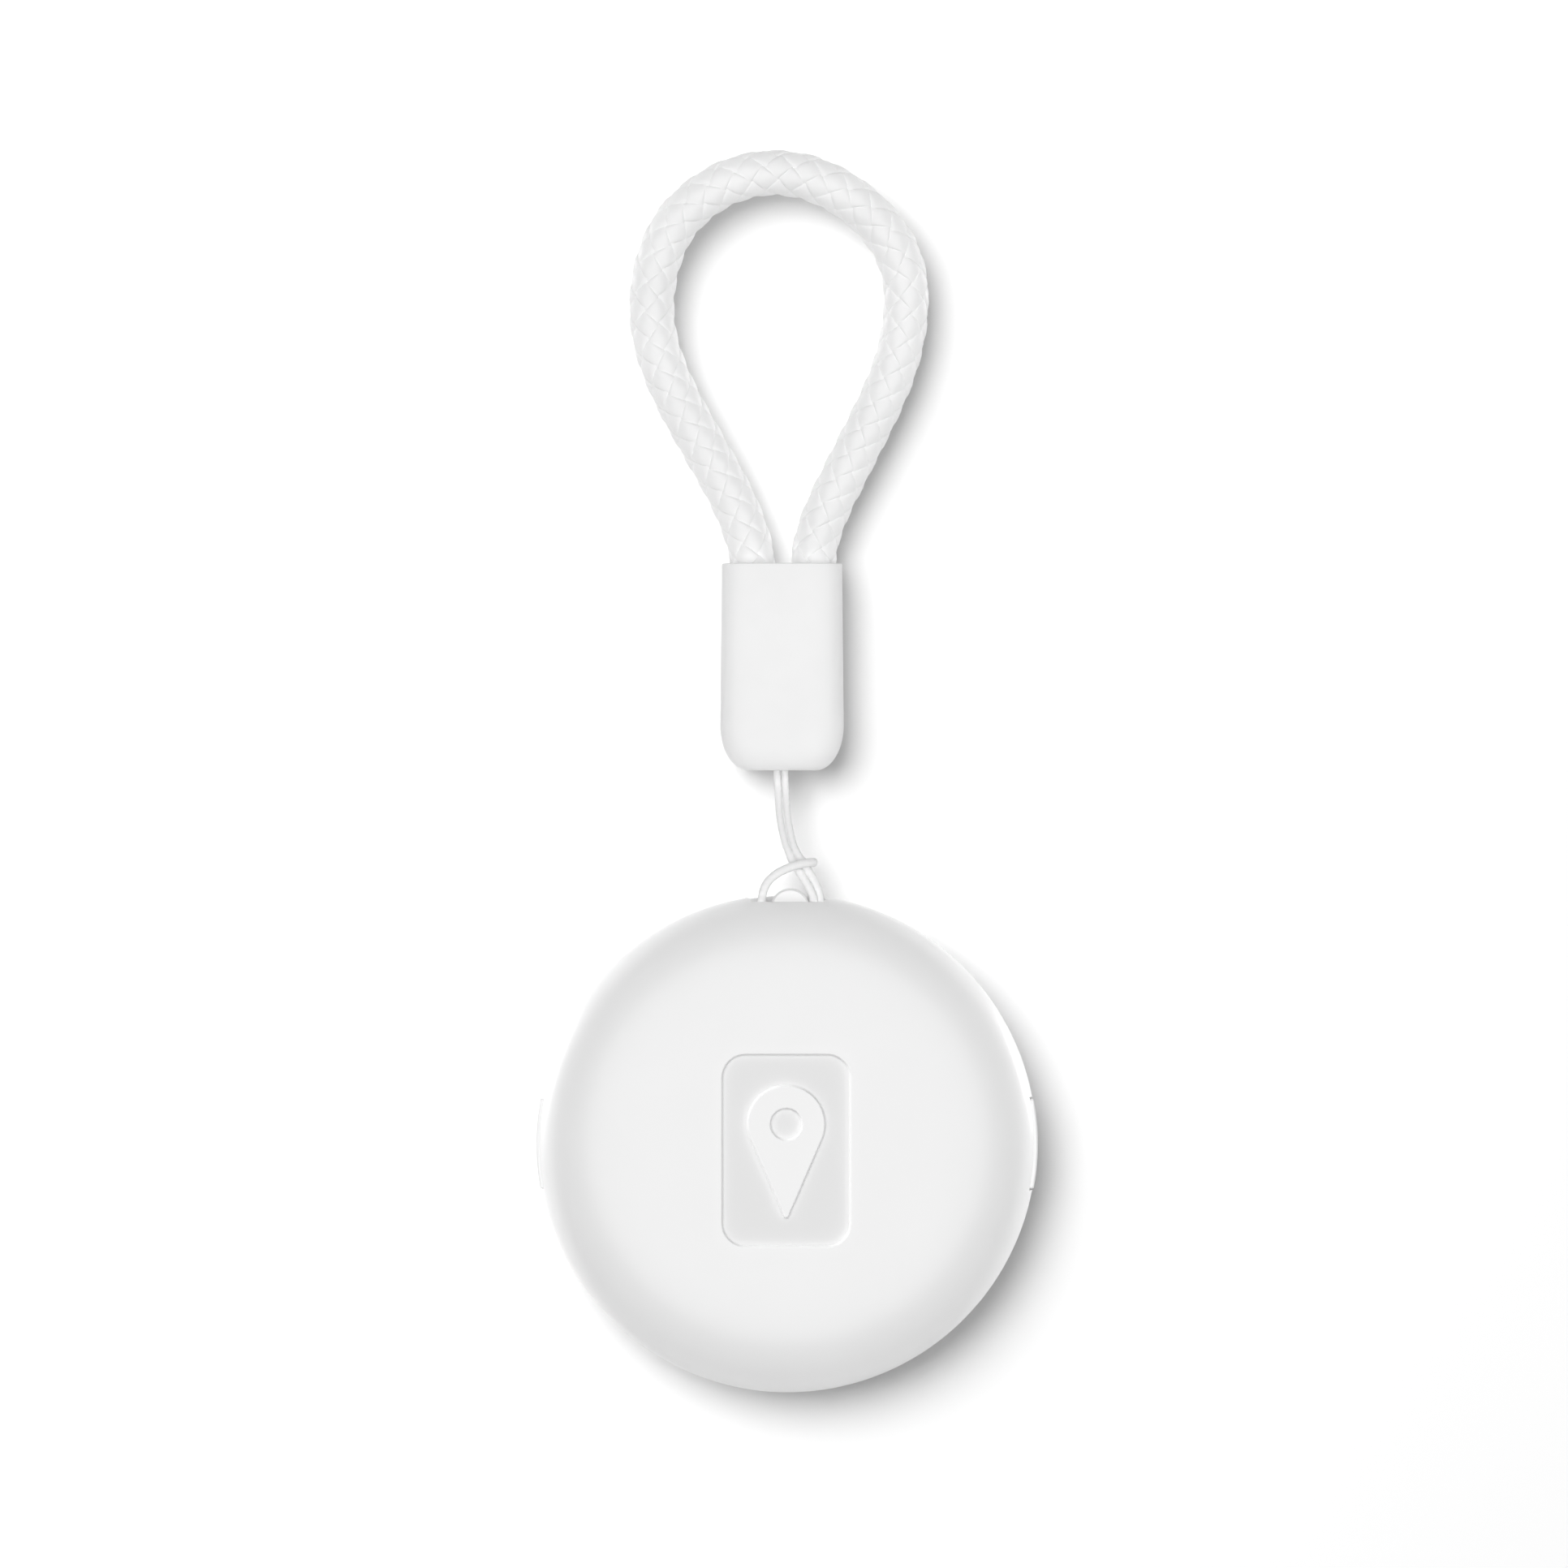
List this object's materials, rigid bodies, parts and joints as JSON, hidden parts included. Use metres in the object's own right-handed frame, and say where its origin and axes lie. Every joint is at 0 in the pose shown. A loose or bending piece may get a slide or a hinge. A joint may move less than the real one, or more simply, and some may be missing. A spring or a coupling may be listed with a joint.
{
  "type": "bluetooth tracker tag",
  "caption": "Round white key-finder tag with a press-fit domed cover and side button, hitched by a thin string to a moulded sleeve and a braided hand loop.",
  "frame": {"origin": "on the case's axis, on the plane that the flat rear face rests on", "axes": "+Z out of the domed front, +Y from the case towards the braided loop, +X towards the side button"},
  "size_m": [0.0403, 0.0997, 0.009],
  "materials": {
    "shell": "satin white moulding",
    "button": "satin white moulding",
    "sleeve": "fine matt white moulding",
    "string": "waxed polyester string",
    "braid": "smooth white coated strip",
    "board": "green solder mask",
    "black_moulding": "matt",
    "white_moulding": "matt",
    "steel": "nickel plated",
    "brass": "rolled",
    "ceramic": "fired, silvered",
    "capacitor": "matt",
    "electrode": "pressed powder",
    "adhesive": "tacky film"
  },
  "bodies": {
    "case": {"rear_cover": "shell", "circuit_board": "board", "board_screw_1": "steel", "board_screw_2": "steel", "board_screw_3": "steel", "battery_can": "steel", "battery_cap": "steel", "battery_electrodes": "electrode", "battery_gasket": "black_moulding", "battery_holder": "black_moulding", "battery_negative_spring": "steel", "battery_positive_clip": "steel", "bulk_capacitor": "capacitor", "capacitor_1": "capacitor", "capacitor_2": "capacitor", "capacitor_3": "capacitor", "capacitor_4": "capacitor", "capacitor_5": "capacitor", "capacitor_6": "capacitor", "chip_antenna": "ceramic", "clock_crystal": "steel", "main_crystal": "steel", "piezo_adhesive": "adhesive", "piezo_ceramic": "ceramic", "piezo_plate": "brass", "piezo_spring_1": "brass", "piezo_spring_2": "brass", "power_inductor": "black_moulding", "radio_chip": "black_moulding", "status_led": "white_moulding", "switch_body": "black_moulding", "switch_frame": "steel"},
    "cover": {"front_cover": "shell"},
    "button": {"side_button": "button"},
    "plunger": {"switch_plunger": "white_moulding"},
    "hitch": {"cord_hitch": "string"},
    "lanyard": {"cord_lead_left": "string", "cord_lead_right": "string", "string_knot": "string", "ferrule_sleeve": "sleeve", "crimp_collar": "steel", "braided_loop": "braid"}
  },
  "joints": [
    {"name": "front_cover_lift", "type": "slide", "parent": "case", "child": "cover", "axis": [0, 0, 1], "range_m": [0, 0.015]},
    {"name": "button_press", "type": "slide", "parent": "case", "child": "button", "axis": [-1, 0, 0], "range_m": [0, 0.00035], "stiffness_N_per_m": 800, "springref_m": -0.0003},
    {"name": "switch_plunger_press", "type": "slide", "parent": "case", "child": "plunger", "axis": [-1, 0, 0], "range_m": [0, 0.00035]},
    {"name": "lanyard_swing", "type": "hinge", "parent": "case", "child": "hitch", "pos_m": [0.0002, 0.0189, 0.0032], "axis": [0, 0, 1], "range_deg": [-20, 20]},
    {"name": "lanyard_fold", "type": "hinge", "parent": "hitch", "child": "lanyard", "pos_m": [0.00044, 0.0232, 0.00404], "axis": [1, 0, 0], "range_deg": [-90, 90]}
  ],
  "couplings": [
    {"joint": "switch_plunger_press", "follows": "button_press", "ratio": 1}
  ]
}
